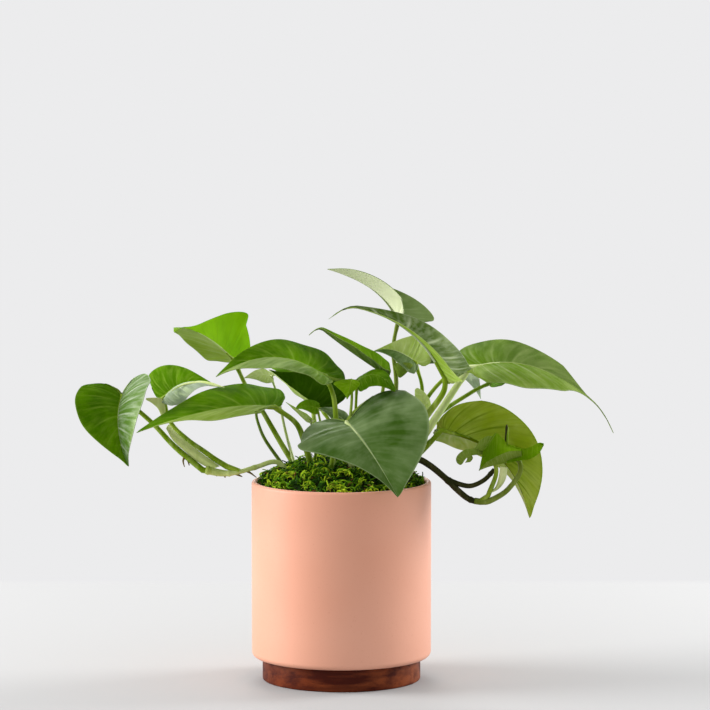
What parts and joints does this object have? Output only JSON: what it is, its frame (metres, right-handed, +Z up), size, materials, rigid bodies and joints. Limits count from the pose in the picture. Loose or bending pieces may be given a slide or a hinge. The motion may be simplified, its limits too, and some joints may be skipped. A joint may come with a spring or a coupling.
{
  "type": "potted pothos plant",
  "caption": "Trailing pothos with heart-shaped leaves in a cylindrical terracotta-pink ceramic planter on a round dark wood plinth.",
  "frame": {"origin": "centre of the wood plinth's underside, which rests on the surface", "axes": "+Z up along the pot's axis, -Y towards the front, where the large drooping leaf hangs over the rim, +X to the right as seen from the front"},
  "size_m": [0.3799, 0.1884, 0.2894],
  "materials": {
    "plinth_wood": "satin",
    "pot_ceramic": "matte",
    "liner_plastic": "satin",
    "potting_mix": "matte",
    "sheet_moss": "matte",
    "vine_green": "satin",
    "vine_dark": "satin",
    "leaf_green": "satin"
  },
  "bodies": {
    "root": {"wood_plinth": "plinth_wood", "ceramic_pot": "pot_ceramic", "nursery_pot": "liner_plastic", "potting_soil": "potting_mix", "moss_mound": "sheet_moss", "vine_left": "vine_green", "vine_right": "vine_dark", "leaf_far_left": "leaf_green", "leaf_left_curled": "leaf_green", "leaf_left_long": "leaf_green", "leaf_upper_left": "leaf_green", "leaf_centre_left": "leaf_green", "leaf_centre_shaded": "leaf_green", "leaf_small_oval": "leaf_green", "leaf_small_thin": "leaf_green", "leaf_front_heart": "leaf_green", "leaf_young_folded": "leaf_green", "leaf_middle_arch": "leaf_green", "leaf_slender": "leaf_green", "leaf_right_arched": "leaf_green", "leaf_topmost": "leaf_green", "leaf_behind_arch": "leaf_green", "leaf_far_right": "leaf_green", "leaf_hanging_tip": "leaf_green", "leaf_low_right": "leaf_green", "leaf_crumpled": "leaf_green", "leaf_curled_tip": "leaf_green", "leaf_small_pale": "leaf_green", "leaf_small_left": "leaf_green", "leaf_behind_heart": "leaf_green", "leaf_back_low": "leaf_green", "leaf_back_left": "leaf_green", "leaf_back_right": "leaf_green", "leaf_back_low_right": "leaf_green", "leaf_back_far_left": "leaf_green"}
  },
  "joints": []
}
